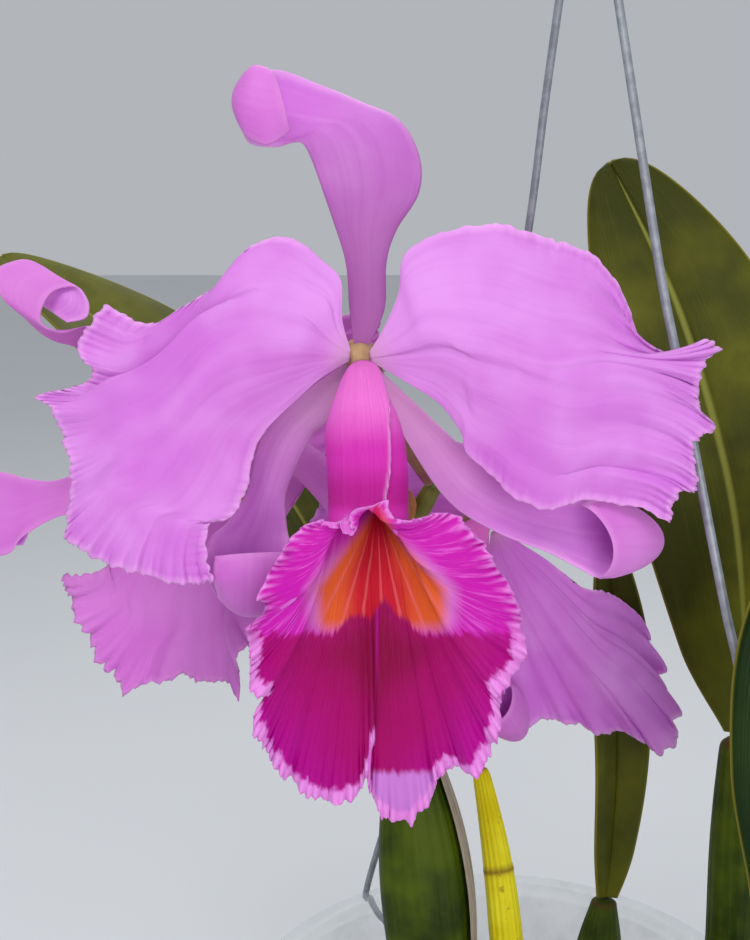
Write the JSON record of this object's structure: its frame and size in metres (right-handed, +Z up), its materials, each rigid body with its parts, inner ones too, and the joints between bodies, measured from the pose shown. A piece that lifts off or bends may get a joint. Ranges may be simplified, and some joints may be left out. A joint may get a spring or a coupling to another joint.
{
  "type": "potted christmas orchid",
  "caption": "Potted orchid in bloom with frilled pink petals and a crimson lip, jointed canes and leathery leaves in a clear pot with a wire hanger.",
  "frame": {"origin": "centre of the pot's flat base, on the surface it stands on", "axes": "+Z up along the pot's axis; -Y is the side the front bloom looks to; +X is to the right as the bloom is looked at"},
  "size_m": [0.2789, 0.1817, 0.5433],
  "materials": {
    "petal": "soft satin petal tissue, orchid pink",
    "lip": "velvety lip tissue, crimson magenta",
    "column": "smooth fleshy tissue, pale green brown",
    "clear_plastic": "clear glossy plastic",
    "bark": "rough dark bark chips",
    "rhizome": "rough brown",
    "cane_green": "ribbed satin plant tissue, olive green",
    "cane_yellow": "satin plant tissue, yellow",
    "dry_husk": "dry papery husk",
    "leaf_green": "leathery satin leaf, olive green",
    "stalk_green": "satin plant tissue, pale green",
    "bract_tan": "dry papery bract, tan orange",
    "galvanised_wire": "dull galvanised steel wire"
  },
  "bodies": {
    "root": {"bloom_front_petal_left": "petal", "bloom_front_petal_right": "petal", "bloom_front_sepal_dorsal": "petal", "bloom_front_sepal_left": "petal", "bloom_front_sepal_right": "petal", "bloom_front_lip": "lip", "bloom_front_column": "column", "bloom_left_petal_left": "petal", "bloom_left_petal_right": "petal", "bloom_left_sepal_dorsal": "petal", "bloom_left_sepal_left": "petal", "bloom_left_sepal_right": "petal", "bloom_left_lip": "lip", "bloom_left_column": "column", "bloom_right_petal_left": "petal", "bloom_right_petal_right": "petal", "bloom_right_sepal_dorsal": "petal", "bloom_right_sepal_left": "petal", "bloom_right_sepal_right": "petal", "bloom_right_lip": "lip", "bloom_right_column": "column", "pot": "clear_plastic", "growing_medium": "bark", "rhizome": "rhizome", "cane_flowering": "cane_green", "cane_old_yellow": "cane_yellow", "cane_back": "cane_green", "cane_right": "cane_green", "cane_front_right": "cane_green", "cane_dry_sheath": "dry_husk", "leaf_flowering": "leaf_green", "leaf_back": "leaf_green", "leaf_right": "leaf_green", "leaf_front_right": "leaf_green", "flower_stalk": "stalk_green", "stalk_bract": "bract_tan", "hanger_wire_hooked": "galvanised_wire", "hanger_wire_wound": "galvanised_wire"}
  },
  "joints": []
}
